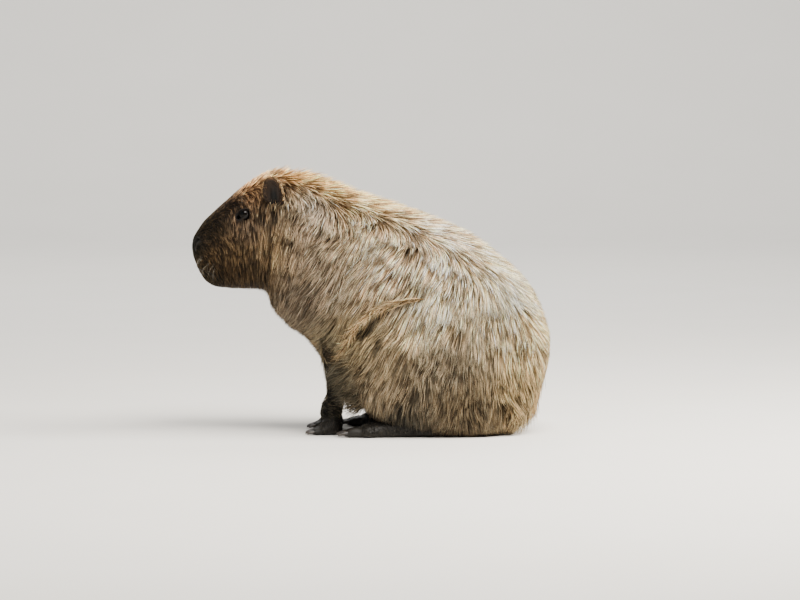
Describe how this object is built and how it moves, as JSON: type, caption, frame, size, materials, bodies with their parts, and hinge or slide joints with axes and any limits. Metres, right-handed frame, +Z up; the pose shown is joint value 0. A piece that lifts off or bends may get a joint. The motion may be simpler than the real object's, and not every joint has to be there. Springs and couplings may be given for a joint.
{
  "type": "capybara, sitting adult, life-size still model",
  "caption": "Life-size adult capybara sitting on its haunches, front legs straight, head held level, with a long bristly coat.",
  "frame": {"origin": "middle of the part's bounding box in X and Y, on the floor that it sits on", "axes": "+Z up, the nose points along -X, and the animal's left side is at -Y"},
  "size_m": [0.7446, 0.3492, 0.5498],
  "materials": {
    "coat": "long coarse bristly hair, sandy over brown, matt",
    "short_coat": "short close hair, brown, matt",
    "bare_skin": "dark wrinkled skin, thinly haired",
    "eye": "wet, very dark brown, glossy",
    "claw": "dark horn, worn, satin"
  },
  "bodies": {
    "root": {"head": "short_coat", "neck": "coat", "torso": "coat", "thigh_left": "coat", "thigh_right": "coat", "eye_left": "eye", "eye_right": "eye", "ear_left": "short_coat", "ear_right": "short_coat", "foreleg_left": "short_coat", "foreleg_right": "short_coat", "front_foot_left": "bare_skin", "front_foot_right": "bare_skin", "hind_foot_left": "bare_skin", "hind_foot_right": "bare_skin", "front_claw_left_1": "claw", "front_claw_left_2": "claw", "front_claw_left_3": "claw", "front_claw_left_4": "claw", "front_claw_right_1": "claw", "front_claw_right_2": "claw", "front_claw_right_3": "claw", "front_claw_right_4": "claw", "hind_claw_left_1": "claw", "hind_claw_left_2": "claw", "hind_claw_left_3": "claw", "hind_claw_right_1": "claw", "hind_claw_right_2": "claw", "hind_claw_right_3": "claw"}
  },
  "joints": []
}
